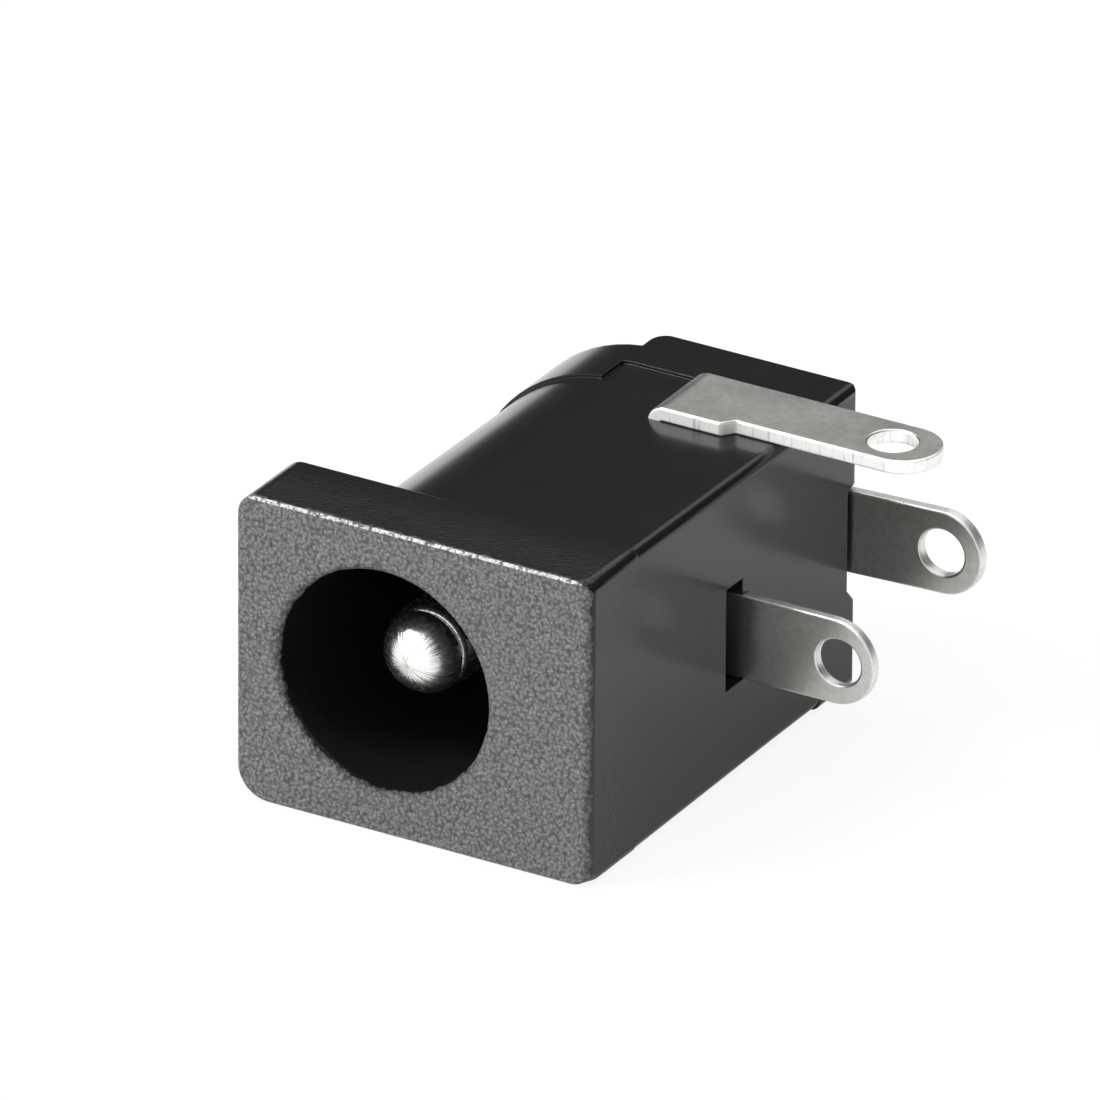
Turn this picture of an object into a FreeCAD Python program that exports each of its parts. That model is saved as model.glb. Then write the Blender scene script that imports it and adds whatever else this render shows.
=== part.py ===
import FreeCAD, Part
import math
import os

os.makedirs("parts", exist_ok=True)

Vector = FreeCAD.Vector

# A dc power jack for a circuit board, lying on its side. X runs from the top of the
# housing down to the tips of the solder lugs, Y from the socket's mouth to the back,
# and Z up across the width. Sizes are in millimetres, and the shapes are built with
# X and Y counted from the housing's top front corner, then moved to the base's centre.

# Housing
housing_width = 9.0
overall_depth = 14.2
axis_below_top = 4.5
axis_above_board = 6.4
flange_depth = 2.55
flange_corner_radius = 0.6
flange_low_corner_radius = 0.95
flange_back_radius = 0.65
flange_edge_radius = 0.1
board_corner_radius = 0.3
board_edge_radius = 0.28
front_corner_radius = 0.6
front_corner_length = 1.1
body_inset = 0.1
body_inset_at_flange = 0.02
roof_wall = 0.5
round_end_step = 0.85
round_rim_length = 2.15
flat_rim_length = 1.9
slab_below_axis = 0.2
slab_corner_radius = 0.45
slab_edge_radius = 0.2

# Socket
bore_diameter = 6.4
mouth_radius = 0.25
back_wall = 4.0

# Centre pin
pin_diameter = 2.5
pin_tip_from_mouth = 1.25
pin_dome_length = 0.95
pin_dome_diameter = 2.36
pin_groove_diameter = 2.1
pin_groove_width = 0.2
pin_shoulder_length = 0.6
pin_tail_diameter = 1.8
rivet_diameter = 2.4
rivet_height = 0.35
pin_clearance = 0.02

# Solder lugs
lug_length = 4.05
lug_hole_diameter = 1.35
lug_pitch = 5.79
fit_clearance = 0.02

# Back terminal, riveted to the pin
back_lug_width = 2.45
back_lug_thickness = 0.35
back_lug_bend_radius = 0.2
joggle_below_pin = 1.7
joggle_length = 0.55
channel_width = 2.95
channel_depth = 0.5
channel_flare_low = 0.55
channel_flare_high = 0.2
seat_beyond_joggle = 0.5

# Sleeve spring
spring_thickness = 0.3
spring_width = 2.5
spring_hole_from_tip = 1.1
spring_bend_radius = 0.35
crest_bend_radius = 0.5
plug_diameter = 5.5
plug_preload = 0.3
crest_before_floor = 1.3
tail_after_floor = 0.1
tail_taper = 0.3
pocket_width = 3.05
pocket_offset = 0.2
pocket_behind_flange = 0.35
board_wall = 1.3
swing_slot_length = 0.88

# Switch terminal
switch_thickness = 0.4
switch_bend_radius = 0.1
switch_lug_length = 4.2
switch_lug_width = 2.2
switch_step = 0.35
switch_step_slope = 0.3
switch_plate_length = 2.25
switch_hole_from_tip = 1.4
switch_from_back = 1.95
blade_below_axis = 2.45
blade_shoulder_depth = 1.5
blade_behind_floor = 0.3
blade_width = 1.5
blade_past_spring = 2.1

# Cutting shapes run on this far past the faces they open through
overrun = 1.0

# Worked out from the sizes above
half_width = housing_width / 2
bore_radius = bore_diameter / 2
board_face = axis_below_top + axis_above_board
lug_tip = board_face + lug_length
switch_lug_tip = board_face + switch_lug_length
overall_length = max(lug_tip, switch_lug_tip)
bore_floor = overall_depth - back_wall
round_end = overall_depth - round_end_step
body_side = housing_width - body_inset
rim_top = axis_below_top - bore_radius - roof_wall - body_inset
arch_middle = rim_top + half_width
slab_top = axis_below_top + slab_below_axis
channel_floor = overall_depth - channel_depth
joggle_start = axis_below_top + joggle_below_pin
joggle_end = joggle_start + joggle_length
back_lug_front = overall_depth - back_lug_thickness
spring_lug_front = back_lug_front - lug_pitch
spring_lug_back = spring_lug_front + spring_thickness
pocket_floor = board_face - board_wall
crest_top = axis_below_top + plug_diameter / 2 - plug_preload
pocket_roof = crest_top - fit_clearance
pocket_low = half_width - pocket_offset - pocket_width / 2
pocket_high = pocket_low + pocket_width
pocket_front = flange_depth + pocket_behind_flange
spring_low = pocket_low + fit_clearance
spring_middle = spring_low + spring_width / 2
blade_top = axis_below_top + blade_below_axis
blade_bottom = blade_top + switch_thickness
blade_front = bore_floor + blade_behind_floor
blade_back = blade_front + blade_width
blade_end = spring_middle + spring_width / 2 - blade_past_spring
blade_shoulder = body_side - blade_shoulder_depth
switch_back = overall_depth - switch_from_back
switch_front = switch_back - switch_lug_width
switch_wide_front = switch_front - switch_step
pocket_back = max(blade_back, switch_back) + fit_clearance


def block(x, y, z):
    """A block that spans the given pair of values along each axis."""
    size = [pair[1] - pair[0] for pair in (x, y, z)]
    return Part.makeBox(size[0], size[1], size[2], Vector(x[0], y[0], z[0]))


def corner_arc(before, corner, after, radius):
    """The start, middle and end points of the arc that rounds a corner."""
    way_in = (corner - before).normalize()
    way_out = (after - corner).normalize()
    half_turn = way_in.getAngle(way_out) / 2
    reach = radius * math.tan(half_turn)
    start = corner - way_in * reach
    end = corner + way_out * reach
    inward = (way_out - way_in).normalize()
    middle = corner + inward * radius * (1 / math.cos(half_turn) - 1)
    return start, middle, end


def rounded_face(points, radii):
    """A flat face whose outline has each corner rounded by its own radius."""
    arcs = []
    for i, corner in enumerate(points):
        after = points[(i + 1) % len(points)]
        arcs.append(corner_arc(points[i - 1], corner, after, radii[i]))
    edges = []
    for i, (start, middle, end) in enumerate(arcs):
        if radii[i] > 0:
            edges.append(Part.Arc(start, middle, end).toShape())
        following = arcs[(i + 1) % len(arcs)][0]
        if not end.isEqual(following, 1e-6):
            edges.append(Part.makeLine(end, following))
    return Part.Face(Part.Wire(edges))


def square_section():
    """The flange's section, with the corner that lies low on the round side larger."""
    corners = [(0, 0), (board_face, 0), (board_face, housing_width), (0, housing_width)]
    points = [Vector(x, 0, z) for x, z in corners]
    radii = [
        flange_low_corner_radius,
        board_corner_radius,
        board_corner_radius,
        flange_corner_radius,
    ]
    return rounded_face(points, radii)


def arched_section():
    """The rim's section: half round on top, flat on the sides and the board face."""
    corners = [(rim_top, 0), (board_face, 0), (board_face, housing_width), (rim_top, housing_width)]
    points = [Vector(x, 0, z) for x, z in corners]
    return rounded_face(points, [half_width, board_corner_radius, board_corner_radius, half_width])


def side_profile(corners, radii):
    """A plate as wide as the housing, cut to an outline seen from the side."""
    points = [Vector(x, y, 0) for x, y in corners]
    return rounded_face(points, radii).extrude(Vector(0, 0, housing_width))


def front_corner_plug():
    """The turned shape that the flange's front corners beside the board face are cut to:
    a rounded lip at the front, then a cone that widens until it leaves the corner."""
    small = front_corner_radius - flange_edge_radius
    lip = flange_edge_radius * math.sqrt(0.5)
    wide = front_corner_radius * math.sqrt(2)
    length = front_corner_length
    edges = [
        Part.makeLine(Vector(0, 0, 0), Vector(small, 0, 0)),
        Part.Arc(
            Vector(small, 0, 0),
            Vector(small + lip, flange_edge_radius - lip, 0),
            Vector(front_corner_radius, flange_edge_radius, 0),
        ).toShape(),
        Part.makeLine(Vector(front_corner_radius, flange_edge_radius, 0), Vector(wide, length, 0)),
        Part.makeLine(Vector(wide, length, 0), Vector(0, length, 0)),
        Part.makeLine(Vector(0, length, 0), Vector(0, 0, 0)),
    ]
    half = Part.Face(Part.Wire(edges))
    return half.revolve(Vector(0, 0, 0), Vector(0, 1, 0), 360)


def front_corner_cuts():
    """The slivers that round the front's two corners beside the board face."""
    across = (board_face - front_corner_radius, board_face + overrun)
    low = (-overrun, front_corner_radius)
    high = (housing_width - front_corner_radius, housing_width + overrun)
    slivers = []
    for height, middle in ((low, low[1]), (high, high[0])):
        plug = front_corner_plug()
        plug.translate(Vector(across[0], 0, middle))
        slivers.append(block(across, (0, front_corner_length), height).cut(plug))
    return slivers


def flange():
    """The square front. Its outer edges are broken, and rounder along the front of the
    board face and along the back of the top."""
    bar = square_section().extrude(Vector(0, flange_depth, 0))
    outer_edges = [edge for edge in bar.Edges if edge.BoundBox.YLength < 1e-6]
    bar = bar.makeFillet(flange_edge_radius, outer_edges)
    corners = [(0, 0), (board_face, 0), (board_face, flange_depth), (0, flange_depth)]
    bar = bar.common(side_profile(corners, [0, board_edge_radius, 0, flange_back_radius]))
    return bar.cut(front_corner_cuts())


def body():
    """The arched body, half round on top like the rim and set in from it. It starts
    inside the flange, tapers to the switch terminal's plate, and runs straight from
    there to the round end."""
    front = flange_depth / 2
    front_side = housing_width - body_inset_at_flange
    near = [
        Vector(arch_middle, front, front_side),
        Vector(arch_middle, switch_wide_front - fit_clearance, body_side),
        Vector(arch_middle, round_end, body_side),
    ]
    far = [Vector(point.x, point.y, housing_width - point.z) for point in reversed(near)]
    axis_ends = [
        Vector(arch_middle, round_end, half_width),
        Vector(arch_middle, front, half_width),
    ]
    half = rounded_face(near + axis_ends, [0] * 5)
    round_top = half.revolve(axis_ends[1], Vector(0, 1, 0), 360)
    sides = rounded_face(near + far, [0] * 6).extrude(Vector(board_face - arch_middle, 0, 0))
    board_edges = []
    for edge in sides.Edges:
        box = edge.BoundBox
        if box.XMin > arch_middle and box.ZLength < half_width:
            board_edges.append(edge)
    return round_top.fuse(sides.makeFillet(board_corner_radius, board_edges))


def back_rim():
    """The raised rim round the back of the body: longer over the round top than on
    the flat sides, where it carries on into the slab that closes the lower back."""
    bar = arched_section().extrude(Vector(0, overall_depth, 0))
    round_start = round_end - round_rim_length
    flat_start = overall_depth - flat_rim_length
    over_round = side_profile(
        [(0, round_start), (slab_top, round_start), (slab_top, round_end), (0, round_end)],
        [0, 0, 0, 0],
    )
    slab = side_profile(
        [
            (slab_top, flat_start),
            (board_face, flat_start),
            (board_face, overall_depth),
            (slab_top, overall_depth),
        ],
        [0, 0, slab_edge_radius, slab_corner_radius],
    )
    return bar.common(over_round.fuse(slab))


def socket_cut():
    """The bore with its rounded mouth, turned about the socket's axis."""
    outside = -overrun
    mouth = bore_radius + mouth_radius
    lip = mouth_radius * (1 - math.sqrt(0.5))
    edges = [
        Part.makeLine(Vector(0, outside, 0), Vector(mouth, outside, 0)),
        Part.makeLine(Vector(mouth, outside, 0), Vector(mouth, 0, 0)),
        Part.Arc(
            Vector(mouth, 0, 0),
            Vector(bore_radius + lip, lip, 0),
            Vector(bore_radius, mouth_radius, 0),
        ).toShape(),
        Part.makeLine(Vector(bore_radius, mouth_radius, 0), Vector(bore_radius, bore_floor, 0)),
        Part.makeLine(Vector(bore_radius, bore_floor, 0), Vector(0, bore_floor, 0)),
        Part.makeLine(Vector(0, bore_floor, 0), Vector(0, outside, 0)),
    ]
    half = Part.Face(Part.Wire(edges))
    turned = half.revolve(Vector(0, 0, 0), Vector(0, 1, 0), 360)
    turned.translate(Vector(axis_below_top, 0, half_width))
    return turned


def spring_pocket_cut():
    """The pocket below the bore, the slot that the spring's lug swings down through,
    and the narrower groove behind it in which the lug stands."""
    width = (pocket_low, pocket_high)
    pocket = block((pocket_roof, pocket_floor), (pocket_front, pocket_back), width)
    through = (pocket_floor, board_face + overrun)
    slot = block(through, (spring_lug_front - swing_slot_length, spring_lug_front), width)
    lug_high = spring_low + spring_width + fit_clearance
    groove = block(
        through, (spring_lug_front, spring_lug_back + fit_clearance), (pocket_low, lug_high)
    )
    return pocket.fuse([slot, groove])


def switch_slot_cut():
    """The stepped slot in the side that takes the switch terminal's bent leg."""
    bend_room = switch_thickness + switch_bend_radius
    wide = block(
        (blade_top - fit_clearance, blade_top + bend_room + fit_clearance),
        (switch_wide_front - fit_clearance, switch_back + fit_clearance),
        (blade_shoulder, housing_width + overrun),
    )
    narrow = block(
        (blade_top - fit_clearance, blade_bottom + fit_clearance),
        (blade_front - fit_clearance, blade_back + fit_clearance),
        (pocket_low, blade_shoulder),
    )
    return wide.fuse(narrow)


def back_channel_cut():
    """The channel down the back that holds the back lug. It flares more on its low side,
    and is deeper round the rivet."""
    floor_half = channel_width / 2
    floor_low = half_width - floor_half
    floor_high = half_width + floor_half
    start = slab_top - overrun
    outline = [
        Vector(start, channel_floor, floor_low),
        Vector(start, overall_depth, floor_low - channel_flare_low),
        Vector(start, overall_depth, floor_high + channel_flare_high),
        Vector(start, channel_floor, floor_high),
    ]
    length = board_face + overrun - start
    flare = rounded_face(outline, [0, 0, 0, 0]).extrude(Vector(length, 0, 0))
    seat = block(
        (start, joggle_end + seat_beyond_joggle),
        (round_end, overall_depth + overrun),
        (floor_low, floor_high),
    )
    return flare.fuse(seat)


def pin_hole_cut():
    """The hole through the back wall for the pin's tail."""
    radius = pin_tail_diameter / 2 + pin_clearance
    start = Vector(axis_below_top, bore_floor - overrun, half_width)
    return Part.makeCylinder(radius, back_wall + 2 * overrun, start, Vector(0, 1, 0))


def housing():
    """The moulded housing, one piece with every opening cut from it."""
    shell = flange().fuse([body(), back_rim()])
    cuts = [
        socket_cut(),
        spring_pocket_cut(),
        switch_slot_cut(),
        back_channel_cut(),
        pin_hole_cut(),
    ]
    return shell.cut(cuts).removeSplitter()


def cap_arc(tip, base, radius):
    """The arc of a spherical cap, from its tip on the axis to its base's edge."""
    height = abs(base - tip)
    sphere = (radius**2 + height**2) / (2 * height)
    half_angle = math.atan2(radius, sphere - height) / 2
    depth = sphere * (1 - math.cos(half_angle))
    level = tip + math.copysign(depth, base - tip)
    middle = Vector(sphere * math.sin(half_angle), level, 0)
    return Part.Arc(Vector(0, tip, 0), middle, Vector(radius, base, 0)).toShape()


def centre_pin():
    """The turned pin: domed nose, shallow groove, long shank, tail and riveted head."""
    shank = pin_diameter / 2
    nose = pin_dome_diameter / 2
    groove = pin_groove_diameter / 2
    tail = pin_tail_diameter / 2
    rivet = rivet_diameter / 2
    nose_end = pin_tip_from_mouth + pin_dome_length
    groove_end = nose_end + pin_groove_width
    shank_start = groove_end + pin_shoulder_length
    rivet_start = round_end + back_lug_thickness
    rivet_end = rivet_start + rivet_height
    quarter = math.sqrt(0.5)
    shoulder_middle = Vector(
        groove + (shank - groove) * quarter, shank_start - pin_shoulder_length * quarter, 0
    )
    edges = [
        cap_arc(pin_tip_from_mouth, nose_end, nose),
        Part.makeLine(Vector(nose, nose_end, 0), Vector(groove, groove_end, 0)),
        Part.Arc(
            Vector(groove, groove_end, 0), shoulder_middle, Vector(shank, shank_start, 0)
        ).toShape(),
        Part.makeLine(Vector(shank, shank_start, 0), Vector(shank, bore_floor, 0)),
        Part.makeLine(Vector(shank, bore_floor, 0), Vector(tail, bore_floor, 0)),
        Part.makeLine(Vector(tail, bore_floor, 0), Vector(tail, rivet_start, 0)),
        Part.makeLine(Vector(tail, rivet_start, 0), Vector(rivet, rivet_start, 0)),
        cap_arc(rivet_end, rivet_start, rivet),
        Part.makeLine(Vector(0, rivet_end, 0), Vector(0, pin_tip_from_mouth, 0)),
    ]
    half = Part.Face(Part.Wire(edges))
    turned = half.revolve(Vector(0, 0, 0), Vector(0, 1, 0), 360)
    turned.translate(Vector(axis_below_top, 0, half_width))
    return turned


def bent_strip(path, bend_radii, thickness, width):
    """A strip of sheet bent along a path of its mid-thickness. The width vector points
    across the strip, and each inner corner of the path has an inside bend radius."""
    across = Vector(width).normalize()
    ways = [(path[i + 1] - path[i]).normalize() for i in range(len(path) - 1)]
    normals = [across.cross(way) for way in ways]
    sides = []
    for offset in (thickness / 2, -thickness / 2):
        edges = []
        last = path[0] + normals[0] * offset
        for i, radius in enumerate(bend_radii):
            bend = corner_arc(path[i], path[i + 1], path[i + 2], radius + thickness / 2)
            middle_normal = (normals[i] + normals[i + 1]).normalize()
            start = bend[0] + normals[i] * offset
            middle = bend[1] + middle_normal * offset
            end = bend[2] + normals[i + 1] * offset
            edges.append(Part.makeLine(last, start))
            edges.append(Part.Arc(start, middle, end).toShape())
            last = end
        tip = path[-1] + normals[-1] * offset
        edges.append(Part.makeLine(last, tip))
        sides.append((edges, path[0] + normals[0] * offset, tip))
    (upper, upper_start, upper_tip), (lower, lower_start, lower_tip) = sides
    ends = [Part.makeLine(upper_tip, lower_tip), Part.makeLine(lower_start, upper_start)]
    outline = Part.Wire(Part.__sortEdges__(upper + lower + ends))
    return Part.Face(outline).extrude(width)


def finish_lug(strip, end_centre, hole_centre, normal, width):
    """Rounds a lug's end about one point and punches its wire hole at another."""
    radius = width / 2
    cube = block(
        (end_centre.x, end_centre.x + width),
        (end_centre.y - width, end_centre.y + width),
        (end_centre.z - width, end_centre.z + width),
    )
    round_end_bar = Part.makeCylinder(radius, 2 * width, end_centre - normal * width, normal)
    punch = Part.makeCylinder(
        lug_hole_diameter / 2, 2 * width, hole_centre - normal * width, normal
    )
    return strip.cut([cube.cut(round_end_bar), punch])


def back_terminal():
    """The stamped terminal riveted on the pin's tail, joggled out to the back face. It
    leans about the pin until its lug nears the upper side of the channel."""
    head_middle = round_end + back_lug_thickness / 2
    lug_middle = overall_depth - back_lug_thickness / 2
    radius = back_lug_width / 2
    low = half_width - radius
    path = [
        Vector(axis_below_top - radius, head_middle, low),
        Vector(joggle_start, head_middle, low),
        Vector(joggle_end, lug_middle, low),
        Vector(lug_tip, lug_middle, low),
    ]
    strip = bent_strip(
        path,
        [back_lug_bend_radius, back_lug_bend_radius],
        back_lug_thickness,
        Vector(0, 0, back_lug_width),
    )
    pin_axis = Vector(axis_below_top, 0, half_width)
    lug_centre = Vector(lug_tip - radius, lug_middle, half_width)
    along = Vector(0, 1, 0)
    strip = finish_lug(strip, lug_centre, lug_centre, along, back_lug_width)
    head_block = block(
        (axis_below_top - radius, axis_below_top),
        (round_end - overrun, overall_depth + overrun),
        (low, low + back_lug_width),
    )
    head_bar = Part.makeCylinder(radius, overall_depth + overrun, pin_axis, along)
    tail_radius = pin_tail_diameter / 2 + pin_clearance
    tail_hole = Part.makeCylinder(tail_radius, overall_depth + overrun, pin_axis, along)
    strip = strip.cut([head_block.cut(head_bar), tail_hole])
    slack = channel_width / 2 - radius - fit_clearance
    lean = math.degrees(math.atan2(slack, board_face - axis_below_top))
    strip.rotate(pin_axis, along, -lean)
    return strip


def sleeve_spring():
    """The leaf spring for the plug's sleeve, stamped in one piece with its lug. From
    the lug it runs forward along the pocket's floor, turns back, rises to a crest in
    the bore and falls to a flat tail that rests under the switch blade."""
    half = spring_thickness / 2
    lug_middle = spring_lug_front + half
    floor_middle = pocket_floor - half
    turn_middle = pocket_front + half + fit_clearance
    return_middle = floor_middle - 2 * (spring_bend_radius + half)
    crest_middle = crest_top + half
    tail_middle = blade_bottom + half
    path = [
        Vector(lug_tip, lug_middle, spring_low),
        Vector(floor_middle, lug_middle, spring_low),
        Vector(floor_middle, turn_middle, spring_low),
        Vector(return_middle, turn_middle, spring_low),
        Vector(crest_middle, bore_floor - crest_before_floor, spring_low),
        Vector(tail_middle, bore_floor + tail_after_floor, spring_low),
        Vector(tail_middle, blade_back - half, spring_low),
    ]
    bends = [spring_bend_radius] * 3 + [crest_bend_radius] * 2
    strip = bent_strip(path, bends, spring_thickness, Vector(0, 0, spring_width))
    end_centre = Vector(lug_tip - spring_width / 2, lug_middle, spring_middle)
    hole_centre = Vector(lug_tip - spring_hole_from_tip, lug_middle, spring_middle)
    strip = finish_lug(strip, end_centre, hole_centre, Vector(0, 1, 0), spring_width)
    return strip.cut(leaf_tapers(return_middle + half))


def leaf_tapers(leaf_floor):
    """The two slivers trimmed from the leaf's sides, so that it narrows to its tail."""
    start = spring_lug_front - swing_slot_length
    height = Vector(leaf_floor, 0, 0)
    slivers = []
    for side in (-1, 1):
        edge = spring_middle + side * spring_width / 2
        points = [
            Vector(0, start, edge),
            Vector(0, pocket_back, edge - side * tail_taper),
            Vector(0, pocket_back, edge + side * tail_taper),
        ]
        slivers.append(rounded_face(points, [0, 0, 0]).extrude(height))
    return slivers


def switch_terminal():
    """The stamped switch terminal: a plate on the housing's side with a lug at one end
    and, at the other, a leg bent down into the housing to meet the spring's tail."""
    half = switch_thickness / 2
    plate_middle = body_side + half
    blade_middle = blade_top + half
    path = [
        Vector(switch_lug_tip, switch_wide_front, plate_middle),
        Vector(blade_middle, switch_wide_front, plate_middle),
        Vector(blade_middle, switch_wide_front, blade_end),
    ]
    full_width = switch_back - switch_wide_front
    strip = bent_strip(
        path, [switch_bend_radius], switch_thickness, Vector(0, full_width, 0)
    )
    lug_middle = (switch_front + switch_back) / 2
    end_centre = Vector(switch_lug_tip - switch_lug_width / 2, lug_middle, plate_middle)
    hole_centre = Vector(switch_lug_tip - switch_hole_from_tip, lug_middle, plate_middle)
    strip = finish_lug(strip, end_centre, hole_centre, Vector(0, 0, 1), switch_lug_width)
    step = blade_top + switch_plate_length
    below_plate = body_side - overrun
    edge_notch = [
        Vector(step, switch_wide_front - overrun, below_plate),
        Vector(step, switch_wide_front, below_plate),
        Vector(step + switch_step_slope, switch_front, below_plate),
        Vector(switch_lug_tip + overrun, switch_front, below_plate),
        Vector(switch_lug_tip + overrun, switch_wide_front - overrun, below_plate),
    ]
    height = switch_thickness + 2 * overrun
    notch = rounded_face(edge_notch, [0] * 5).extrude(Vector(0, 0, height))
    leg = (blade_top - overrun, blade_bottom + overrun)
    depth = (blade_end - overrun, blade_shoulder)
    before_blade = block(leg, (switch_wide_front - overrun, blade_front), depth)
    behind_blade = block(leg, (blade_back, switch_back + overrun), depth)
    return strip.cut([notch, before_blade, behind_blade])


def save(shape, node):
    """Moves a piece from the front top corner to the base's centre and writes it."""
    shape.translate(Vector(-overall_length / 2, -overall_depth / 2, 0))
    shape.exportStep("parts/" + node + ".step")
    print(node, "solids", len(shape.Solids), "valid", shape.isValid(), "volume", shape.Volume)


save(housing(), "housing")
save(centre_pin(), "centre_pin")
save(back_terminal(), "back_terminal")
save(sleeve_spring(), "sleeve_spring")
save(switch_terminal(), "switch_terminal")
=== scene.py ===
import math

import bmesh
import bpy
import numpy as np
from mathutils import Matrix, Vector


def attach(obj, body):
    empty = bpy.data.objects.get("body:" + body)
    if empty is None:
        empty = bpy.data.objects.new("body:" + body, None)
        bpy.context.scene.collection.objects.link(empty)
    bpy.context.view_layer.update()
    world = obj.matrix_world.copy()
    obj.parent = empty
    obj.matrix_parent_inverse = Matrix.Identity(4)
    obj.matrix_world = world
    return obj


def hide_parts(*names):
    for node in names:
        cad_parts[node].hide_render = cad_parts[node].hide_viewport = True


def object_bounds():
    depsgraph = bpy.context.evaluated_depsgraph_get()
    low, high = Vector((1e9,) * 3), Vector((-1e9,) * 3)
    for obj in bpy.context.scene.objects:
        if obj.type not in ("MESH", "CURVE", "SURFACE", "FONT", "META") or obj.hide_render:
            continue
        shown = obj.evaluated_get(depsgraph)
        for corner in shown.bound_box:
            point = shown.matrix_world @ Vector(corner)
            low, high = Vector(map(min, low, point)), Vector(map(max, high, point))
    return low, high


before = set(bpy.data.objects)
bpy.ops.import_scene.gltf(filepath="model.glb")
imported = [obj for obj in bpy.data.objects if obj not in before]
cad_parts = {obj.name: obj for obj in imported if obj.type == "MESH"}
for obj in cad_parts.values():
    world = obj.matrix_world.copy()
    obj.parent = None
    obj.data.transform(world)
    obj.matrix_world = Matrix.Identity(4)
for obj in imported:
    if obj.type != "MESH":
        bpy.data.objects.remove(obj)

# The jack lies on its flat side: X from the round top to the lugs' tips, Y from the socket's
# mouth to the back, Z up. Sizes below are millimetres from the housing's top front corner,
# and toFrame() moves them to the frame's own origin.
mm = 0.001
cadLow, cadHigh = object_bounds()
corner = np.array(cadLow) / mm
axisBelowTop = 4.5  # the socket's axis, from the round top
axisHeight = 4.5  # and above the side that the jack lies on
lugHoleRadius = 0.675  # the wire hole, the same in all three lugs


def toFrame(points):
    return (np.asarray(points, float) + corner) * mm


# Quads between the neighbours of a grid of points, counted on from a first vertex. The grid
# closes on itself in its second parameter where asked.
def gridFaces(along, around, first=0, closedRound=False):
    columns = around if closedRound else around - 1
    i, j = np.meshgrid(np.arange(along - 1), np.arange(columns), indexing="ij")
    i, j = i.ravel(), j.ravel()
    here, below = i * around, (i + 1) * around
    jNext = (j + 1) % around
    return first + np.column_stack([here + j, here + jNext, below + jNext, below + j])


def addObject(name, data):
    thing = bpy.data.objects.new(name, data)
    bpy.context.scene.collection.objects.link(thing)
    return thing


def addPiece(name, vertices, faces, materials):
    mesh = bpy.data.meshes.new(name)
    mesh.from_pydata(toFrame(vertices), [], faces)
    for material in materials:
        mesh.materials.append(material)
    piece = addObject(name, mesh)
    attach(piece, "root")
    return piece


# Smooth shading that breaks at every edge sharper than the angle, in degrees.
def smoothBelow(mesh, angle):
    mesh.polygons.foreach_set("use_smooth", np.ones(len(mesh.polygons), bool))
    mesh.set_sharp_from_angle(angle=math.radians(angle))


# Shader nodes in few words: a node by type, with its inputs and settings.
def addNode(tree, kind, inputs=None, **settings):
    node = tree.nodes.new(kind)
    for key, value in settings.items():
        setattr(node, key, value)
    for key, value in (inputs or {}).items():
        socket = node.inputs[key]
        if isinstance(value, bpy.types.NodeSocket):
            tree.links.new(value, socket)
        else:
            socket.default_value = value
    return node


def startMaterial(name):
    material = bpy.data.materials.new(name)
    material.use_nodes = True
    tree = material.node_tree
    place = addNode(tree, "ShaderNodeTexCoord").outputs["Object"]
    return material, tree, tree.nodes["Principled BSDF"], place


usualNoise = (0.3, 0.7)  # nearly all of a noise's values lie between these


def noiseOf(tree, place, scale, detail=3.0, roughness=0.55, distortion=0.0):
    return addNode(tree, "ShaderNodeTexNoise", {
        "Vector": place, "Scale": scale, "Detail": detail, "Roughness": roughness,
        "Distortion": distortion,
    }).outputs["Fac"]


def mapRange(tree, value, fromLow, fromHigh, toLow, toHigh):
    return addNode(tree, "ShaderNodeMapRange", {
        "Value": value, "From Min": fromLow, "From Max": fromHigh, "To Min": toLow, "To Max": toHigh,
    }).outputs["Result"]


def maths(tree, operation, a, b=0.0):
    return addNode(tree, "ShaderNodeMath", {0: a, 1: b}, operation=operation).outputs[0]


def mixColour(tree, amount, first, second):
    return addNode(tree, "ShaderNodeMix", {0: amount, 6: first, 7: second}, data_type="RGBA").outputs[2]


def stretched(tree, place, squeeze):
    return addNode(tree, "ShaderNodeMapping", {"Vector": place, "Scale": squeeze}).outputs["Vector"]


# A bump of some depth in mm, on top of another normal.
def bumped(tree, height, strength, depth, normal):
    return addNode(tree, "ShaderNodeBump", {
        "Height": height, "Strength": strength, "Distance": depth * mm, "Normal": normal,
    }).outputs["Normal"]


# A normal that is rounded within a radius in mm of each edge.
def softEdge(tree, radius):
    return addNode(tree, "ShaderNodeBevel", {"Radius": radius * mm}, samples=6).outputs["Normal"]


def setNormal(tree, shader, normal):
    tree.links.new(normal, shader.inputs["Normal"])


def axisOf(tree, place, axis):
    return addNode(tree, "ShaderNodeSeparateXYZ", {"Vector": place}).outputs[axis]


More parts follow.
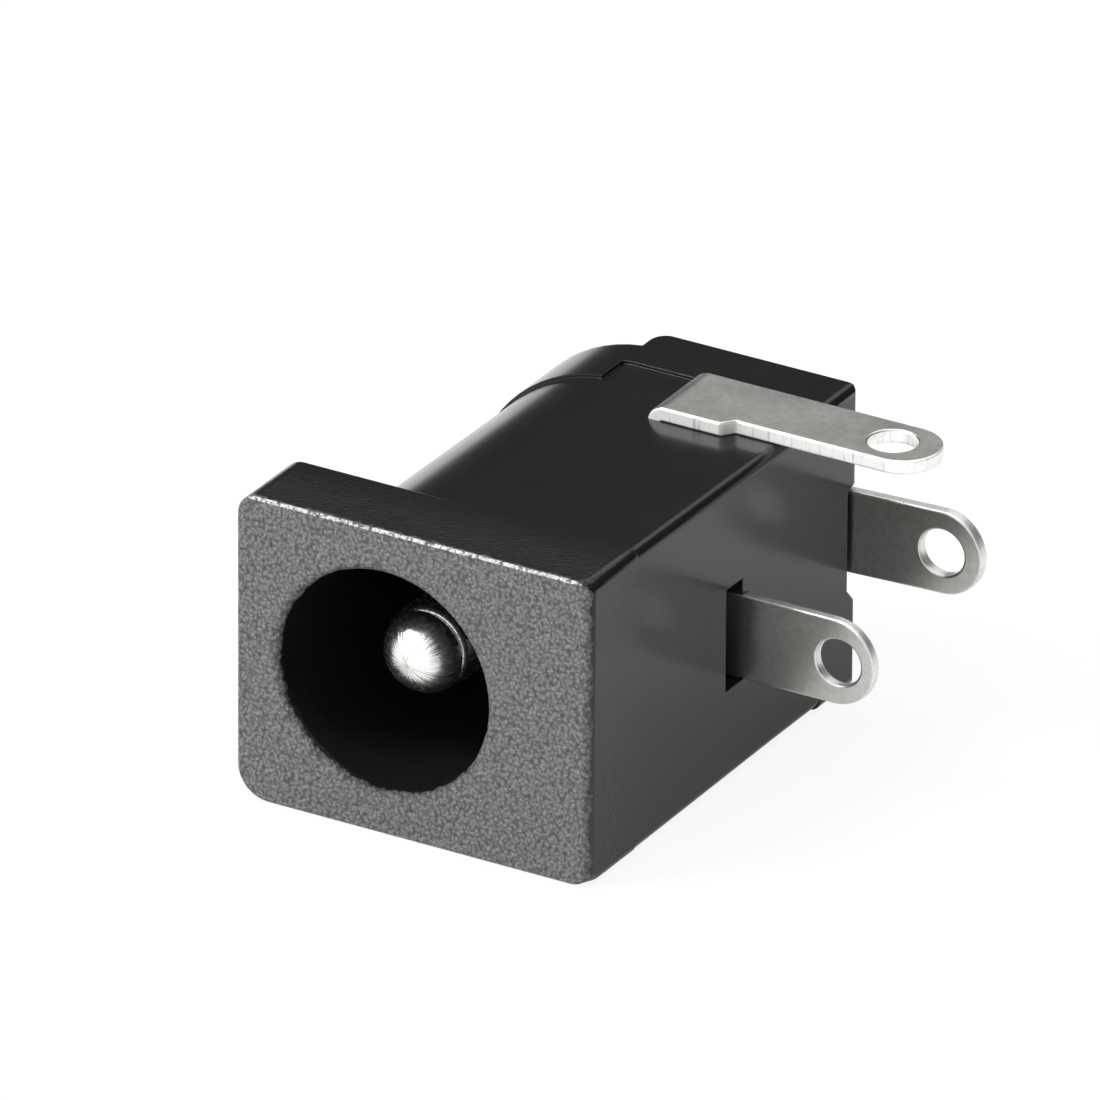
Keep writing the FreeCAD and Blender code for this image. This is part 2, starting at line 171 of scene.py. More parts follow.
# Black moulded plastic: a blasted grain on the front, a fainter one on the flange's sides,
# and polished sides behind it. Scales are the noises' own, and depths, heights and fades mm.
plasticLook = {
    "smoothColour": (0.009, 0.009, 0.0095, 1),
    # the grain's grey tone, darker in its hollows by painted shade and lighter on its tops
    "grainHollowToneAndShade": (0.1, 0.1, 0.102, 1),
    "grainTopToneAndLight": (0.3, 0.3, 0.305, 1),
    # the white of the painted highlight along the front's top edge
    "paintedGlintColour": (0.95, 0.95, 0.95, 1),
    "smoothRoughness": 0.19,
    "flangeRoughness": 0.2,
    "grainRoughness": 0.4,
    "specular": 0.41,
    "ior": 1.42,
    "pebbleScale": 8800,
    "pebbleShare": 0.7,
    "grainScale": 11000,
    "grainRange": (-0.05, 0.4),
    "grainDepth": 0.26,
    "grainOnFront": 0.97,
    "grainOnFlange": 0.03,
    "speckScale": 9000,
    "speckStrength": 0.05,
    "speckDepth": 0.004,
    "cloudScale": 900,
    "cloudRoughness": (-0.015, 0.025),
    "raggedScale": 3800,
    "raggedBy": 0.09,
    "frontDepth": 0.05,
    "frontFade": (-0.01, 0.12),
    "flangeDepth": 2.2,
    "flangeFade": (-1.2, 0.8),
    # where the painted highlight along the front's top edge lies, and how patchy it is
    "glintHeight": 8.915,
    "glintFade": 0.01,
    "glintDepth": 0.03,
    "glintRange": (0.0, 0.15),
    "glintLeast": 0.1,
    "edgeRadius": 0.05,
}


def plasticMaterial():
    look = plasticLook
    material, tree, shader, place = startMaterial("blackPlastic")
    depth = axisOf(tree, place, "Y")
    frontAt, flangeAt = (look["frontDepth"] + corner[1]) * mm, (look["flangeDepth"] + corner[1]) * mm
    frontFade = [frontAt + shift * mm for shift in look["frontFade"]]
    flangeFade = [flangeAt + shift * mm for shift in look["flangeFade"]]
    raggedBy = look["raggedBy"] * mm
    ragged = noiseOf(tree, place, look["raggedScale"], detail=4, roughness=0.6)
    ragged = mapRange(tree, ragged, *usualNoise, -raggedBy, raggedBy)
    front = mapRange(tree, maths(tree, "SUBTRACT", depth, ragged), *frontFade, 1, 0)
    flange = mapRange(tree, depth, *flangeFade, 1, 0)

    # The grain's relief is a wrinkled noise with round pebbles taken out of it, and it colours
    # the front too: the grain's own grey tone, with painted shade darkening its hollows and its
    # tops lighter. Along the front's top edge a white painted highlight stands for the glint of
    # the moulded edge, strongest where the relief is high.
    wrinkle = noiseOf(tree, place, look["grainScale"], detail=4, roughness=0.62, distortion=0.8)
    pebble = addNode(tree, "ShaderNodeTexVoronoi", {
        "Vector": place, "Scale": look["pebbleScale"], "Smoothness": 0.5,
    }, feature="SMOOTH_F1").outputs["Distance"]
    grain = maths(tree, "SUBTRACT", wrinkle, maths(tree, "MULTIPLY", pebble, look["pebbleShare"]))
    # Darker where the grain is low and lighter where it is high: painted shade on the relief, over the
    # grain's own tone.
    grainShadeByHeight = mapRange(tree, grain, *look["grainRange"], 0, 1)
    grainToneAndShade = mixColour(tree, grainShadeByHeight, look["grainHollowToneAndShade"], look["grainTopToneAndLight"])
    colour = mixColour(tree, front, look["smoothColour"], grainToneAndShade)
    # A white painted highlight along the front's top edge, put into the colour, not made by a lamp.
    glintAt, glintFade = (look["glintHeight"] + corner[2]) * mm, look["glintFade"] * mm
    paintedGlint = mapRange(tree, axisOf(tree, place, "Z"), glintAt - glintFade, glintAt + glintFade, 0, 1)
    nearFront = mapRange(tree, depth, frontAt, frontAt + look["glintDepth"] * mm, 1, 0)
    glintPatches = mapRange(tree, grain, *look["glintRange"], look["glintLeast"], 1)
    paintedGlint = maths(tree, "MULTIPLY", maths(tree, "MULTIPLY", paintedGlint, nearFront), glintPatches)
    tree.links.new(mixColour(tree, paintedGlint, colour, look["paintedGlintColour"]), shader.inputs["Base Color"])

    rough = mapRange(tree, flange, 0, 1, look["smoothRoughness"], look["flangeRoughness"])
    rougher = maths(tree, "MULTIPLY", front, look["grainRoughness"] - look["flangeRoughness"])
    rough = maths(tree, "ADD", rough, rougher)
    cloud = noiseOf(tree, place, look["cloudScale"])
    rough = maths(tree, "ADD", rough, mapRange(tree, cloud, *usualNoise, *look["cloudRoughness"]))
    tree.links.new(rough, shader.inputs["Roughness"])

    onFlange = maths(tree, "MULTIPLY", flange, look["grainOnFlange"])
    share = maths(tree, "ADD", onFlange, maths(tree, "MULTIPLY", front, look["grainOnFront"]))
    relief = maths(tree, "MULTIPLY", grain, share)
    normal = bumped(tree, relief, 1.0, look["grainDepth"], softEdge(tree, look["edgeRadius"]))
    speck = noiseOf(tree, place, look["speckScale"], detail=2)
    setNormal(tree, shader, bumped(tree, speck, look["speckStrength"], look["speckDepth"], normal))
    shader.inputs["IOR"].default_value = look["ior"]
    shader.inputs["Specular IOR Level"].default_value = look["specular"]
    return material


# Tin-plated sheet: satin metal with faint clouds and small dull spots. The lower ends of the
# two upright lugs are shaded as if they fell back a little: from droopFrom on, by droop times
# the square of the distance along droopAlong, in mm.
tinLook = {
    "colour": (0.66, 0.645, 0.62, 1),
    "dull": (0.57, 0.555, 0.53, 1),
    "roughness": (0.29, 0.34),
    "spotScale": 5200,
    "spotRange": (0.4, 0.7),
    "cloudScale": 700,
    "fineScale": 15000,
    "fineStrength": 0.25,
    "fineDepth": 0.003,
    "edgeRadius": 0.03,
    "droopFrom": (12.75, 0, 4.3),
    "droopAlong": (0.8, 0, -0.6),
    "droop": 0.042,
}


def tinMaterial():
    look = tinLook
    material, tree, shader, place = startMaterial("tinPlate")
    spots = noiseOf(tree, place, look["spotScale"], detail=2, roughness=0.5)
    spots = mapRange(tree, spots, *look["spotRange"], 0, 1)
    tree.links.new(mixColour(tree, spots, look["colour"], look["dull"]), shader.inputs["Base Color"])
    cloud = noiseOf(tree, place, look["cloudScale"])
    tree.links.new(mapRange(tree, cloud, *usualNoise, *look["roughness"]), shader.inputs["Roughness"])
    shader.inputs["Metallic"].default_value = 1.0
    direction = np.array(look["droopAlong"]) / mm
    along = addNode(tree, "ShaderNodeVectorMath", {
        0: place, 1: tuple(direction),
    }, operation="DOT_PRODUCT").outputs["Value"]
    past = maths(tree, "SUBTRACT", along, float(toFrame(look["droopFrom"]) @ direction))
    past = maths(tree, "MAXIMUM", past, 0.0)
    fall = maths(tree, "MULTIPLY", maths(tree, "MULTIPLY", past, past), -1.0)
    normal = bumped(tree, fall, 1.0, look["droop"], softEdge(tree, look["edgeRadius"]))
    fine = noiseOf(tree, place, look["fineScale"])
    setNormal(tree, shader, bumped(tree, fine, look["fineStrength"], look["fineDepth"], normal))
    return material


# The sheared edge of the sheet: brighter, with lines across its thickness where the punch
# went through. The pattern is drawn out along the thickness by its squeeze.
shearedLook = {
    "roughness": 0.42, "lineScale": 9000, "lineRange": (0.55, 0.75), "lineDepth": 0.012,
    "lineStrength": 0.5, "edgeRadius": 0.03,
    "lugs": {
        "squeeze": (1, 0.12, 1), "colour": (0.74, 0.73, 0.71, 1), "dull": (0.55, 0.54, 0.52, 1),
        "metal": 0.85,
    },
    "plate": {
        "squeeze": (1, 1, 0.12), "colour": (0.95, 0.945, 0.93, 1), "dull": (0.5, 0.49, 0.48, 1),
        "metal": 0.4,
    },
}


def shearedMaterial(name, kind):
    look, own = shearedLook, shearedLook[kind]
    material, tree, shader, place = startMaterial(name)
    lines = noiseOf(tree, stretched(tree, place, own["squeeze"]), look["lineScale"], roughness=0.6)
    dullness = mapRange(tree, lines, *look["lineRange"], 0, 1)
    tree.links.new(mixColour(tree, dullness, own["colour"], own["dull"]), shader.inputs["Base Color"])
    shader.inputs["Roughness"].default_value = look["roughness"]
    shader.inputs["Metallic"].default_value = own["metal"]
    edge = softEdge(tree, look["edgeRadius"])
    setNormal(tree, shader, bumped(tree, lines, look["lineStrength"], look["lineDepth"], edge))
    return material


# Bright plated turning: fine rings round the axis, and burnished streaks away from it. Each
# relief has a scale, a strength and a depth in mm.
pinLook = {
    "colour": (0.87, 0.86, 0.84, 1), "roughness": (0.2, 0.3), "edgeRadius": 0.03,
    "rings": (30000, 0.15, 0.004), "streaks": (9, 0.5, 0.06), "pits": (6000, 0.25, 0.012),
}


def pinMaterial():
    look = pinLook
    material, tree, shader, place = startMaterial("turnedPin")
    rings = addNode(tree, "ShaderNodeTexNoise", {
        "W": maths(tree, "MULTIPLY", axisOf(tree, place, "Y"), look["rings"][0]),
        "Scale": 1.0, "Detail": 2.0,
    }, noise_dimensions="1D").outputs["Fac"]
    fromAxis = addNode(tree, "ShaderNodeVectorMath", {
        0: place, 1: tuple(toFrame((axisBelowTop, 0, axisHeight))),
    }, operation="SUBTRACT").outputs[0]
    outwards = addNode(tree, "ShaderNodeVectorMath", {
        0: fromAxis, 1: (1, 0, 1),
    }, operation="MULTIPLY").outputs[0]
    around = addNode(tree, "ShaderNodeVectorMath", {0: outwards}, operation="NORMALIZE").outputs[0]
    streaks = noiseOf(tree, around, look["streaks"][0], roughness=0.6)
    pits = noiseOf(tree, place, look["pits"][0], detail=4, roughness=0.65)
    shader.inputs["Base Color"].default_value = look["colour"]
    shader.inputs["Metallic"].default_value = 1.0
    tree.links.new(mapRange(tree, pits, *usualNoise, *look["roughness"]), shader.inputs["Roughness"])
    normal = bumped(tree, rings, *look["rings"][1:], softEdge(tree, look["edgeRadius"]))
    normal = bumped(tree, streaks, *look["streaks"][1:], normal)
    setNormal(tree, shader, bumped(tree, pits, *look["pits"][1:], normal))
    return material


blackPlastic = plasticMaterial()
tinPlate = tinMaterial()
lugEdge = shearedMaterial("shearedLugEdge", "lugs")
plateEdge = shearedMaterial("shearedPlateEdge", "plate")
turnedPin = pinMaterial()
print("materials made:", len(bpy.data.materials))


# The moulded housing is the frame's own shape with its triangles joined: flat faces whole
# again, curved ones shaded round, and each normal weighted by the faces' size so that flat
# faces stay flat up to their rounded edges. The crease behind the flange is kept sharp
# however shallow it is.
housingFinish = {
    "mergeWithin": 0.0005, "flatWithin": 0.25, "sharpAbove": 32, "creaseAbove": 3,
    "creaseDepths": (2.44, 2.56), "sizeWeight": 80,
}


def mouldedHousing():
    finish = housingFinish
    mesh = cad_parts["housing"].data.copy()
    mesh.name = "mouldedHousing"
    shape = bmesh.new()
    shape.from_mesh(mesh)
    bmesh.ops.remove_doubles(shape, verts=shape.verts, dist=finish["mergeWithin"] * mm)
    bmesh.ops.dissolve_limit(
        shape, angle_limit=math.radians(finish["flatWithin"]), verts=shape.verts, edges=shape.edges,
        use_dissolve_boundaries=False, delimit=set(),
    )
    for face in shape.faces:
        face.smooth = True
    nearest, farthest = ((depth + corner[1]) * mm for depth in finish["creaseDepths"])
    for edge in shape.edges:
        angle = math.degrees(edge.calc_face_angle_signed(0))
        behindFlange = all(nearest < end.co.y < farthest for end in edge.verts)
        creased = behindFlange and angle < -finish["creaseAbove"]
        edge.smooth = abs(angle) < finish["sharpAbove"] and not creased
    shape.to_mesh(mesh)
    shape.free()
    mesh.materials.clear()
    mesh.materials.append(blackPlastic)
    piece = addObject("mouldedHousing", mesh)
    weigh = piece.modifiers.new("flatFaces", "WEIGHTED_NORMAL")
    weigh.keep_sharp = True
    weigh.weight = finish["sizeWeight"]
    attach(piece, "root")
    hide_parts("housing")


mouldedHousing()
print("housing made")

# The centre pin is a profile turned about the socket's axis: a spherical nose, a groove, a
# rounded shoulder, the shank, the tail through the wall and the riveted head.
pinSizes = {
    "tip": 1.25, "noseEnd": 2.2, "noseRadius": 1.18, "grooveEnd": 2.4, "grooveRadius": 1.05,
    "shankStart": 3.0, "radius": 1.25, "shankEnd": 10.2, "tailRadius": 0.9, "rivetStart": 13.7,
    "rivetEnd": 14.05, "rivetRadius": 1.2, "around": 160, "grooveRows": 8, "shoulderRows": 14,
    "smoothBelow": 35,
}


# A spherical cap from its tip on the axis to its base, as rows of radius and depth.
def capProfile(tip, base, radius, steps=28):
    height = abs(base - tip)
    sphere = (radius**2 + height**2) / (2 * height)
    angle = np.linspace(0, math.atan2(radius, sphere - height), steps)
    depth = tip + np.sign(base - tip) * sphere * (1 - np.cos(angle))
    return np.column_stack([sphere * np.sin(angle), depth])


def centrePin():
    s = pinSizes
    nose = capProfile(s["tip"], s["noseEnd"], s["noseRadius"])[1:]
    groove = np.linspace(
        (s["noseRadius"], s["noseEnd"]), (s["grooveRadius"], s["grooveEnd"]), s["grooveRows"],
    )[1:]
    bend = np.linspace(0, math.pi / 2, s["shoulderRows"])
    shoulder = np.column_stack([
        s["grooveRadius"] + (s["radius"] - s["grooveRadius"]) * np.sin(bend),
        s["shankStart"] - (s["shankStart"] - s["grooveEnd"]) * np.cos(bend),
    ])[1:]
    straight = [
        (s["radius"], s["shankEnd"]), (s["tailRadius"], s["shankEnd"]),
        (s["tailRadius"], s["rivetStart"]), (s["rivetRadius"], s["rivetStart"]),
    ]
    head = capProfile(s["rivetEnd"], s["rivetStart"], s["rivetRadius"])[::-1][1:-1]
    profile = np.vstack([nose, groove, shoulder, straight, head])
    rows, around = len(profile), s["around"]
    turn = np.linspace(0, 2 * math.pi, around, endpoint=False)
    radius, depth = profile[:, :1], profile[:, 1:]
    points = np.stack([
        axisBelowTop + radius * np.cos(turn), np.broadcast_to(depth, (rows, around)),
        axisHeight + radius * np.sin(turn),
    ], axis=-1).reshape(-1, 3)
    poles = [(axisBelowTop, s["tip"], axisHeight), (axisBelowTop, s["rivetEnd"], axisHeight)]
    ring = np.arange(around)
    ringNext = (ring + 1) % around
    lastRow = (rows - 1) * around
    frontFan = np.column_stack([ringNext, ring, np.full(around, len(points))])
    backFan = np.column_stack([lastRow + ring, lastRow + ringNext, np.full(around, len(points) + 1)])
    faces = gridFaces(rows, around, closedRound=True).tolist()
    faces += frontFan.tolist() + backFan.tolist()
    piece = addPiece("turnedCentrePin", np.vstack([points, poles]), faces, [turnedPin])
    smoothBelow(piece.data, s["smoothBelow"])
    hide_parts("centre_pin")


centrePin()
print("centre pin made")


# A strip of sheet is drawn flat, as distance along it and distance across, and then bent.
# bentLine() follows its middle in the plane of the bends: the heading is constant on the
# straights and turns evenly through each bend, and the place is the running sum of steps
# along the heading. It returns distances along, the places there, and the distances at
# which straights and bends meet.
def bentLine(corners, radii, samples=6000):
    corners = np.asarray(corners, float)
    legs = np.diff(corners, axis=0)
    lengths = np.hypot(legs[:, 0], legs[:, 1])
    headings = np.unwrap(np.arctan2(legs[:, 1], legs[:, 0]))
    turns = np.abs(np.diff(headings))
    reach = np.asarray(radii) * np.tan(turns / 2)
    straights = lengths - np.append(reach, 0) - np.insert(reach, 0, 0)
    pieces = np.zeros(2 * len(straights) - 1)
    pieces[0::2] = straights
    pieces[1::2] = np.asarray(radii) * turns
    breaks = np.insert(np.cumsum(pieces), 0, 0)
    along = np.linspace(0, breaks[-1], samples)
    heading = np.interp(along, breaks, np.repeat(headings, 2))
    middle = (heading[1:] + heading[:-1]) / 2
    step = along[1] * np.column_stack([np.cos(middle), np.sin(middle)])
    places = corners[0] + np.vstack([[0, 0], np.cumsum(step, axis=0)])
    return along, places, breaks


# How a strip is divided and finished: columns across it, the distance between its rows,
# points along a round end's sides and arc, and rings round its hole. Then how near points
# are joined, the largest angle that is shaded round, and how edges are broken. Lengths are
# mm and angles degrees.
sheetFinish = {
    "columns": 17, "rowSpacing": 0.08, "sidePoints": 10, "arcPoints": 40, "holeRings": 4,
    "mergeWithin": 0.002, "smoothBelow": 40, "edgeWidth": 0.07, "edgeSegments": 3, "edgeAngle": 50,
}


# The round end of a strip with its hole: rays from the hole's rim to the outline, which is
# the two sides, the half circle about the end's centre and the line where the strip goes on.
def roundEnd(centre, halfWidth, holeCentre, holeRadius, joint, across):
    finish = sheetFinish
    away = np.sign(joint - centre)
    side = np.linspace(joint, centre, finish["sidePoints"])[:, None]
    arc = np.linspace(-math.pi / 2, math.pi / 2, finish["arcPoints"])[1:-1, None]
    outline = np.vstack([
        np.hstack([side, np.full_like(side, -halfWidth)]),
        np.hstack([centre - away * halfWidth * np.cos(arc), halfWidth * np.sin(arc)]),
        np.hstack([side[::-1], np.full_like(side, halfWidth)]),
        np.column_stack([np.full(len(across) - 2, joint), across[::-1][1:-1]]),
    ])
    angle = np.arctan2(outline[:, 1], outline[:, 0] - holeCentre)
    rim = np.column_stack([holeCentre + holeRadius * np.cos(angle), holeRadius * np.sin(angle)])
    share = np.linspace(0, 1, finish["holeRings"])[:, None, None]
    return rim + (outline - rim) * share


# The strip between two distances, with its edges given as distance and offset across. Rows
# stand at every bend's ends and every corner of the edges, and evenly between them.
def stripBody(start, end, breaks, lowEdge, highEdge, across):
    spacing = sheetFinish["rowSpacing"]
    marks = list(breaks) + [point[0] for point in lowEdge + highEdge]
    fixed = np.array([start, end] + [mark for mark in marks if start < mark < end])
    regular = np.arange(start, end, spacing)
    regular = regular[np.abs(regular[:, None] - fixed).min(axis=1) > spacing / 2]
    rows = np.unique(np.round(np.concatenate([regular, fixed]), 3))
    low = np.interp(rows, *np.transpose(lowEdge))[:, None]
    high = np.interp(rows, *np.transpose(highEdge))[:, None]
    share = (across - across[0]) / (across[-1] - across[0])
    offsets = low + (high - low) * share
    return np.stack([np.broadcast_to(rows[:, None], offsets.shape), offsets], axis=-1)


# Bends the flat patches along the line and joins them into one sheet, which a Solidify then
# gives its thickness, half to each side, and a Bevel its broken edges.
def sheetPiece(name, body, ends, line, planeToSpace, thickness, edgeMaterial):
    finish = sheetFinish
    along, places, _ = line
    vertices, faces, count = [], [], 0
    for patch in [body] + ends:
        rows, columns = patch.shape[:2]
        flat = patch.reshape(-1, 2)
        first = np.interp(flat[:, 0], along, places[:, 0])
        second = np.interp(flat[:, 0], along, places[:, 1])
        vertices.append(planeToSpace(first, second, flat[:, 1]))
        faces += gridFaces(rows, columns, count, closedRound=patch is not body).tolist()
        count += len(flat)
    piece = addPiece(name, np.vstack(vertices), faces, [tinPlate, edgeMaterial])
    shape = bmesh.new()
    shape.from_mesh(piece.data)
    bmesh.ops.remove_doubles(shape, verts=shape.verts, dist=finish["mergeWithin"] * mm)
    bmesh.ops.recalc_face_normals(shape, faces=shape.faces)
    shape.to_mesh(piece.data)
    shape.free()
    smoothBelow(piece.data, finish["smoothBelow"])
    solid = piece.modifiers.new("thickness", "SOLIDIFY")
    solid.thickness = thickness * mm
    solid.offset = 0
    solid.use_even_offset = True
    solid.use_quality_normals = True
    solid.material_offset_rim = 1
    edge = piece.modifiers.new("brokenEdges", "BEVEL")
    edge.width = finish["edgeWidth"] * mm
    edge.segments = finish["edgeSegments"]
    edge.limit_method = "ANGLE"
    edge.angle_limit = math.radians(finish["edgeAngle"])
    edge.use_clamp_overlap = False
    edge.harden_normals = True
    return piece


# The back terminal: a head round the pin's tail, a joggle out to the back face, and the lug.
# The whole strip leans about the pin, by the play of its lug in the channel. In each
# terminal, an end's rays reach as far beyond its half circle as the reach says.
backSizes = {
    "halfWidth": 1.225, "thickness": 0.35, "headDepth": 13.525, "lugDepth": 14.025,
    "headHole": 0.92, "joggleStart": 6.2, "joggleEnd": 6.75, "bendRadius": 0.375,
    "lugTip": 14.95, "lean": 2.058, "headReach": 1.2, "lugReach": 1.0,
}


def backTerminal():
    s = backSizes
    half = s["halfWidth"]
    top = axisBelowTop - half
    corners = [
        (top, s["headDepth"]), (s["joggleStart"], s["headDepth"]), (s["joggleEnd"], s["lugDepth"]),
        (s["lugTip"], s["lugDepth"]),
    ]
    line = bentLine(corners, [s["bendRadius"]] * 2)
    length = line[0][-1]
    across = np.linspace(-half, half, sheetFinish["columns"])
    headJoint, lugJoint = half + s["headReach"], length - half - s["lugReach"]
    edges = [(0, half), (length, half)]
    body = stripBody(headJoint, lugJoint, line[2], [(a, -b) for a, b in edges], edges, across)
    ends = [
        roundEnd(half, half, half, s["headHole"], headJoint, across),
        roundEnd(length - half, half, length - half, lugHoleRadius, lugJoint, across),
    ]
    lean = math.radians(s["lean"])

    def place(x, y, z):
        out = x - axisBelowTop
        return np.column_stack([
            axisBelowTop + out * math.cos(lean) - z * math.sin(lean), y,
            axisHeight + out * math.sin(lean) + z * math.cos(lean),
        ])

    piece = sheetPiece("stampedBackTerminal", body, ends, line, place, s["thickness"], lugEdge)
    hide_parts("back_terminal")


backTerminal()

# The sleeve spring: from its lug along the pocket's floor, round the front, up to the crest
# that stands in the socket, and down to the tail, narrowing along the leaf.
springSizes = {
    "halfWidth": 1.25, "thickness": 0.3, "middle": 4.045, "lugTip": 14.95, "lugDepth": 8.21,
    "holeFromTip": 1.1, "floor": 9.45, "front": 3.07, "leaf": 8.45, "crest": 7.1,
    "crestDepth": 8.9, "tail": 7.5, "tailStart": 10.3, "tailEnd": 11.85, "bendRadius": 0.5,
    "crestRadius": 0.65, "taper": 0.26, "lugReach": 1.0,
}


def sleeveSpring():
    s = springSizes
    half = s["halfWidth"]
    corners = [
        (s["lugTip"], s["lugDepth"]), (s["floor"], s["lugDepth"]), (s["floor"], s["front"]),
        (s["leaf"], s["front"]), (s["crest"], s["crestDepth"]), (s["tail"], s["tailStart"]),
        (s["tail"], s["tailEnd"]),
    ]
    line = bentLine(corners, [s["bendRadius"]] * 3 + [s["crestRadius"]] * 2)
    length = line[0][-1]
    across = np.linspace(-half, half, sheetFinish["columns"])
    joint = half + s["lugReach"]
    taperStart = line[2][7]  # where the leaf leaves the front bend
    edges = [(joint, half), (taperStart, half), (length, half - s["taper"])]
    body = stripBody(joint, length, line[2], [(a, -b) for a, b in edges], edges, across)
    end = roundEnd(half, half, s["holeFromTip"], lugHoleRadius, joint, across)

    def place(x, y, z):
        return np.column_stack([x, y, s["middle"] + z])

    piece = sheetPiece("stampedSleeveSpring", body, [end], line, place, s["thickness"], lugEdge)
    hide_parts("sleeve_spring")


sleeveSpring()

# The switch terminal: the lug on the housing's side, wider over the plate, then bent down
# into the slot with square shoulders and a narrow blade that meets the spring's tail.
switchSizes = {
    "thickness": 0.4, "lugTip": 15.1, "lugHalf": 1.1, "lugMiddle": 11.15, "holeFromTip": 1.4,
    "stepStart": 9.5, "stepEnd": 9.2, "plateFront": 9.7, "plateHeight": 9.1, "leg": 7.15,
    "bendRadius": 0.3, "shoulder": 7.4, "shoulderRun": 0.03, "bladeFront": 10.5,
    "bladeBack": 12.0, "bladeEnd": 3.195, "lugReach": 1.5,
}


def switchTerminal():
    s = switchSizes
    half = s["lugHalf"]
    corners = [(s["lugTip"], s["plateHeight"]), (s["leg"], s["plateHeight"]), (s["leg"], s["bladeEnd"])]
    line = bentLine(corners, [s["bendRadius"]])
    length = line[0][-1]
    joint = half + s["lugReach"]
    across = np.linspace(-half, half, sheetFinish["columns"])
    wide = s["plateFront"] - s["lugMiddle"]
    bladeLow, bladeHigh = s["bladeFront"] - s["lugMiddle"], s["bladeBack"] - s["lugMiddle"]
    shoulder = length - (s["shoulder"] - s["bladeEnd"])
    bladeStart = shoulder + s["shoulderRun"]
    lowEdge = [
        (joint, -half), (s["lugTip"] - s["stepStart"], -half), (s["lugTip"] - s["stepEnd"], wide),
        (shoulder, wide), (bladeStart, bladeLow), (length, bladeLow),
    ]
    highEdge = [(joint, half), (shoulder, half), (bladeStart, bladeHigh), (length, bladeHigh)]
    body = stripBody(joint, length, line[2], lowEdge, highEdge, across)
    end = roundEnd(half, half, s["holeFromTip"], lugHoleRadius, joint, across)

    def place(x, z, y):
        return np.column_stack([x, s["lugMiddle"] + y, z])

    piece = sheetPiece("stampedSwitchTerminal", body, [end], line, place, s["thickness"], plateEdge)
    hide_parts("switch_terminal")


switchTerminal()
print("terminals made")

# A pale floor. The camera and the reflections see it most of the way to white, and the rest
# is its lit surface, which keeps the jack's shadow.
floorLook = {
    "size": 4.0, "drop": 0.02, "colour": (0.93, 0.93, 0.93, 1), "roughness": 0.8, "specular": 0.2,
    "whiteToCamera": 0.9, "whiteToGloss": 0.35,
}


def paleFloor():
    look = floorLook
    half = look["size"] / 2
    level = -look["drop"] * mm
    corners = [(-half, -half, level), (half, -half, level), (half, half, level), (-half, half, level)]
    mesh = bpy.data.meshes.new("paleFloor")
    mesh.from_pydata(corners, [], [(0, 1, 2, 3)])
    floor = addObject("paleFloor", mesh)
    material, tree, shader, _ = startMaterial("paleFloor")
    shader.inputs["Base Color"].default_value = look["colour"]
    shader.inputs["Roughness"].default_value = look["roughness"]
    shader.inputs["Specular IOR Level"].default_value = look["specular"]
    path = addNode(tree, "ShaderNodeLightPath").outputs
    seen = maths(tree, "MULTIPLY", path["Is Camera Ray"], look["whiteToCamera"])
    mirrored = maths(tree, "MAXIMUM", path["Is Glossy Ray"], path["Is Transmission Ray"])
    mirrored = maths(tree, "MULTIPLY", mirrored, look["whiteToGloss"])
    white = addNode(tree, "ShaderNodeEmission", {"Color": (1, 1, 1, 1), "Strength": 1.0}).outputs[0]
    both = addNode(tree, "ShaderNodeMixShader", {
        0: maths(tree, "MAXIMUM", seen, mirrored), 1: shader.outputs[0], 2: white,
    })
    tree.links.new(both.outputs[0], tree.nodes["Material Output"].inputs["Surface"])
    mesh.materials.append(material)


paleFloor()

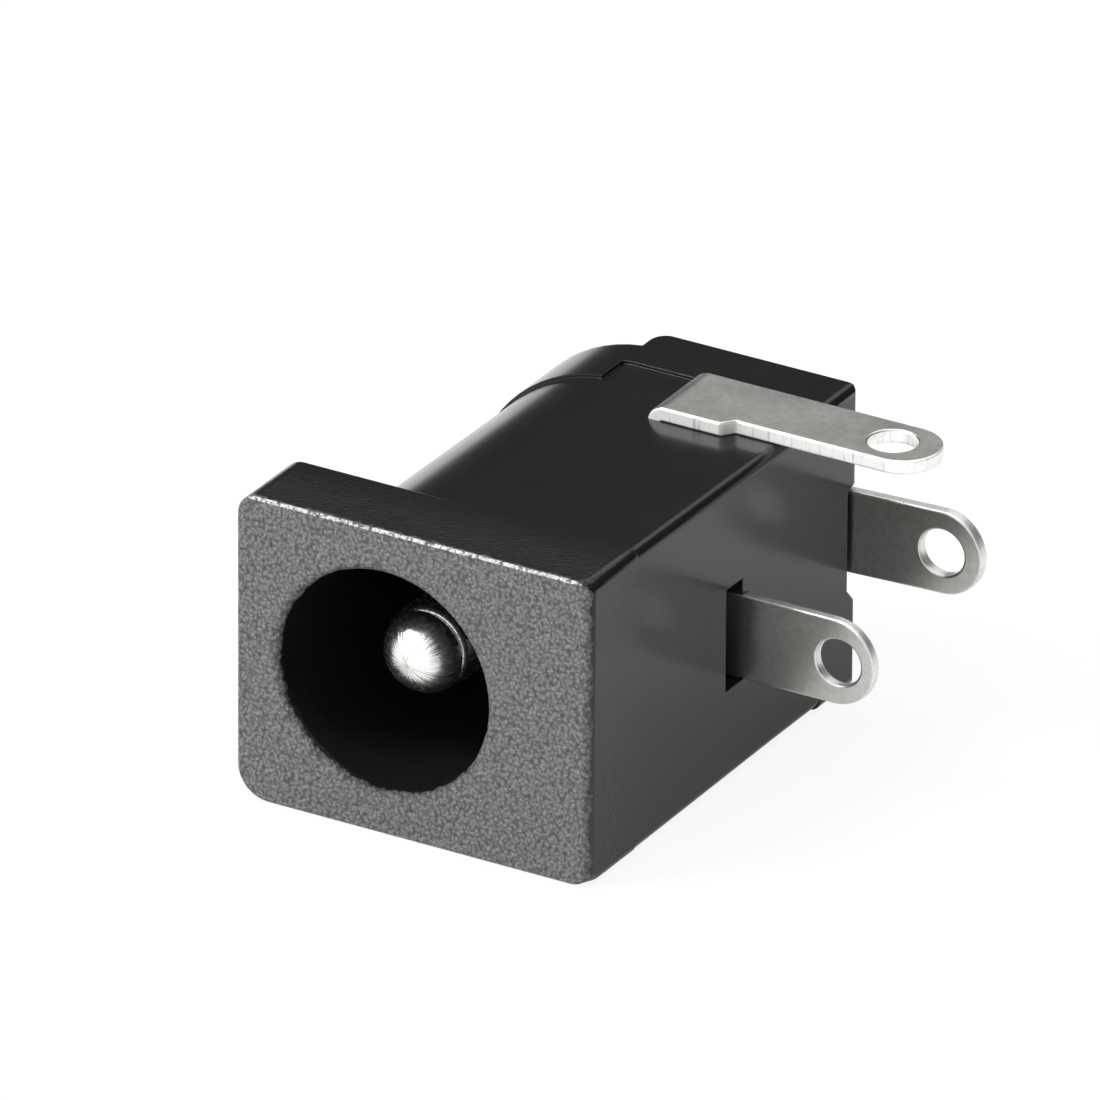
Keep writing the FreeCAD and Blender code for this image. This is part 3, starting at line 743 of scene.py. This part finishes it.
# Soft lamps: each stands off from the part in a direction given by azimuth and elevation
# (azimuth 0 is in front of the socket's mouth, 90 beyond the lugs) and faces it.
lamps = {
    "overhead": {"azimuth": 200, "elevation": 72, "distance": 0.5, "size": 0.75, "power": 2.6},
    "keyLeft": {"azimuth": -45, "elevation": 50, "distance": 0.6, "size": 0.2, "power": 2.4},
    "softLeft": {"azimuth": -50, "elevation": 16, "distance": 0.6, "size": 0.85, "power": 3.0},
    "softFront": {"azimuth": 5, "elevation": 24, "distance": 0.6, "size": 0.55, "power": 1.2},
    "frontFill": {"azimuth": 40, "elevation": 55, "distance": 0.6, "size": 0.35, "power": 0.4},
}
worldLevel = 0.06
aimPoint = np.array([0.0, 0.0, 0.0045])


def towards(azimuth, elevation):
    a, e = math.radians(azimuth), math.radians(elevation)
    return np.array([math.sin(a) * math.cos(e), -math.cos(a) * math.cos(e), math.sin(e)])


def softLamp(name, look):
    data = bpy.data.lights.new(name, "AREA")
    data.shape = "DISK"
    data.size = look["size"]
    data.energy = look["power"]
    lamp = addObject(name, data)
    back = towards(look["azimuth"], look["elevation"])
    lamp.location = aimPoint + back * look["distance"]
    lamp.rotation_euler = Vector(-back).to_track_quat("-Z", "Y").to_euler()


for name, look in lamps.items():
    softLamp(name, look)

world = bpy.data.worlds.new("studio")
world.use_nodes = True
world.node_tree.nodes["Background"].inputs["Color"].default_value = (1, 1, 1, 1)
world.node_tree.nodes["Background"].inputs["Strength"].default_value = worldLevel
bpy.context.scene.world = world
bpy.context.scene.view_settings.view_transform = "Standard"
print("floor and lamps placed:", len(lamps))

# The camera stands where the photograph was taken from, fitted to the jack's edges.
photoCamera = {
    "azimuth": 30.2536, "elevation": 26.2652, "roll": 0.3413, "distance": 0.657193,
    "aim": (-1.4951, -0.9469, 6.226), "lens": 805.988, "sensor": 36, "clip": (0.05, 10),
}


def photographCamera():
    look = photoCamera
    data = bpy.data.cameras.new("photoCamera")
    data.sensor_width = look["sensor"]
    data.lens = look["lens"]
    data.clip_start, data.clip_end = look["clip"]
    camera = addObject("photoCamera", data)
    back = towards(look["azimuth"], look["elevation"])
    camera.location = np.array(look["aim"]) * mm + back * look["distance"]
    level = Vector(-back).to_track_quat("-Z", "Y").to_matrix()
    camera.rotation_euler = (level @ Matrix.Rotation(math.radians(look["roll"]), 3, "Z")).to_euler()
    bpy.context.scene.camera = camera


photographCamera()
print("camera placed")
